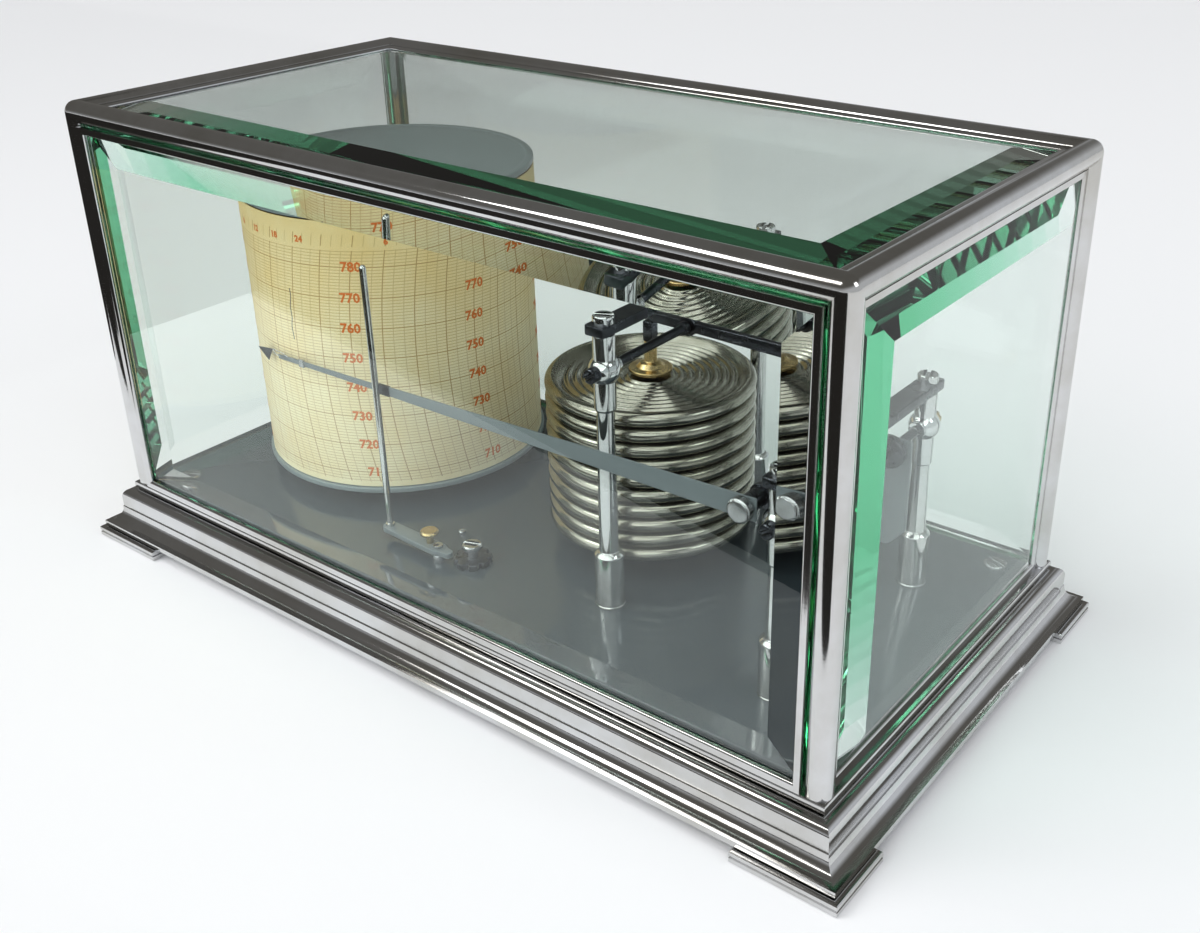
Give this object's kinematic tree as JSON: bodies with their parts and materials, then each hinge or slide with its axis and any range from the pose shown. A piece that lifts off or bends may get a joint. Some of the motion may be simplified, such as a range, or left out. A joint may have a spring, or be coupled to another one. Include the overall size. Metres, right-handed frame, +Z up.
{
  "type": "barograph",
  "caption": "Clock-driven recording aneroid barometer under a lift-off case of bevelled glass panes in a chrome frame on a moulded plinth.",
  "frame": {"origin": "on the table surface under the middle of the case", "axes": "+X along the case to the right, +Y to the back, +Z up"},
  "size_m": [0.2928, 0.1552, 0.1494],
  "materials": {
    "chrome": "polished chrome plate, lightly worn",
    "bevelled_glass": "clear polished plate glass, green at the edges",
    "grey_enamel": "glossy grey enamel",
    "stained_board": "black-stained board",
    "nickel_silver": "aged nickel silver",
    "brass": "satin brass",
    "steel": "polished steel",
    "bronzed_steel": "dark bronzed steel",
    "chart_paper": "printed chart paper, aged"
  },
  "bodies": {
    "base": {"base_moulding": "chrome", "base_board": "stained_board", "base_plate": "grey_enamel", "foot_front_left": "chrome", "foot_front_right": "chrome", "foot_back_right": "chrome", "foot_back_left": "chrome", "lever_pillar_front": "chrome", "lever_pillar_back": "chrome", "pen_pillar_front": "chrome", "pen_pillar_back": "chrome", "lever_bridge": "bronzed_steel", "pen_bridge": "bronzed_steel", "stack_foot": "steel", "capsule_01": "nickel_silver", "capsule_02": "nickel_silver", "capsule_03": "nickel_silver", "capsule_04": "nickel_silver", "capsule_05": "nickel_silver", "capsule_06": "nickel_silver", "capsule_07": "nickel_silver", "capsule_08": "nickel_silver", "capsule_09": "nickel_silver", "capsule_10": "nickel_silver", "drum_arbor": "steel", "fixed_wheel": "brass", "lifter_pivot": "steel"},
    "cover": {"cover_bottom_rail": "chrome", "cover_top_frame": "chrome", "post_front_left": "chrome", "post_front_right": "chrome", "post_back_right": "chrome", "post_back_left": "chrome", "glass_front": "bevelled_glass", "glass_back": "bevelled_glass", "glass_left": "bevelled_glass", "glass_right": "bevelled_glass", "glass_top": "bevelled_glass"},
    "drum": {"drum_shell": "brass", "drum_lid": "grey_enamel", "drum_flange": "grey_enamel", "chart_paper": "chart_paper", "chart_clip": "brass", "clock_movement": "brass"},
    "clock_pinion": {"clock_pinion": "steel"},
    "lever": {"lever_spindle": "bronzed_steel", "main_lever": "bronzed_steel"},
    "link": {"lever_link": "steel"},
    "stack_post": {"stack_post": "brass"},
    "pen": {"pen_spindle": "bronzed_steel", "link_crank": "bronzed_steel", "balance_plate": "grey_enamel", "pen_carrier": "bronzed_steel", "pen_arm": "grey_enamel", "pen_nib": "bronzed_steel", "arm_nut": "steel"},
    "lifter": {"lifter_lever": "grey_enamel", "lifter_rod": "chrome"},
    "set_wheel": {"set_wheel": "bronzed_steel", "set_wheel_screw": "steel"}
  },
  "joints": [
    {"name": "cover_lift", "type": "slide", "parent": "base", "child": "cover", "axis": [0, 0, 1], "range_m": [0, 0.16]},
    {"name": "drum_turn", "type": "hinge", "parent": "base", "child": "drum", "pos_m": [-0.0779, 0.0094, 0.029], "axis": [0, 0, 1], "continuous": true},
    {"name": "pinion_turn", "type": "hinge", "parent": "drum", "child": "clock_pinion", "pos_m": [-0.0599, 0.0094, 0.0246], "axis": [0, 0, 1], "continuous": true},
    {"name": "pen_swing", "type": "hinge", "parent": "base", "child": "pen", "pos_m": [0.1045, 0, 0.073], "axis": [0, 1, 0], "range_deg": [-11, 11], "stiffness_Nm_per_rad": 0.05},
    {"name": "lever_swing", "type": "hinge", "parent": "base", "child": "lever", "pos_m": [0.044, 0, 0.095], "axis": [0, 1, 0], "range_deg": [-4, 4]},
    {"name": "link_lift", "type": "slide", "parent": "base", "child": "link", "axis": [0, 0, 1], "range_m": [-0.0032, 0.0032]},
    {"name": "post_lift", "type": "slide", "parent": "base", "child": "stack_post", "axis": [0, 0, 1], "range_m": [-0.001, 0.001]},
    {"name": "lifter_swing", "type": "hinge", "parent": "base", "child": "lifter", "pos_m": [-0.0124, -0.0416, 0.0257], "axis": [0, 0, 1], "range_deg": [0, 22]},
    {"name": "set_wheel_turn", "type": "hinge", "parent": "base", "child": "set_wheel", "pos_m": [-0.0035, -0.0362, 0.023], "axis": [0, 0, 1], "continuous": true}
  ],
  "couplings": [
    {"joint": "pinion_turn", "follows": "drum_turn", "ratio": 5},
    {"joint": "lever_swing", "follows": "pen_swing", "ratio": -0.31522},
    {"joint": "link_lift", "follows": "pen_swing", "m_per_rad": 0.0145},
    {"joint": "post_lift", "follows": "pen_swing", "m_per_rad": -0.0044761}
  ]
}
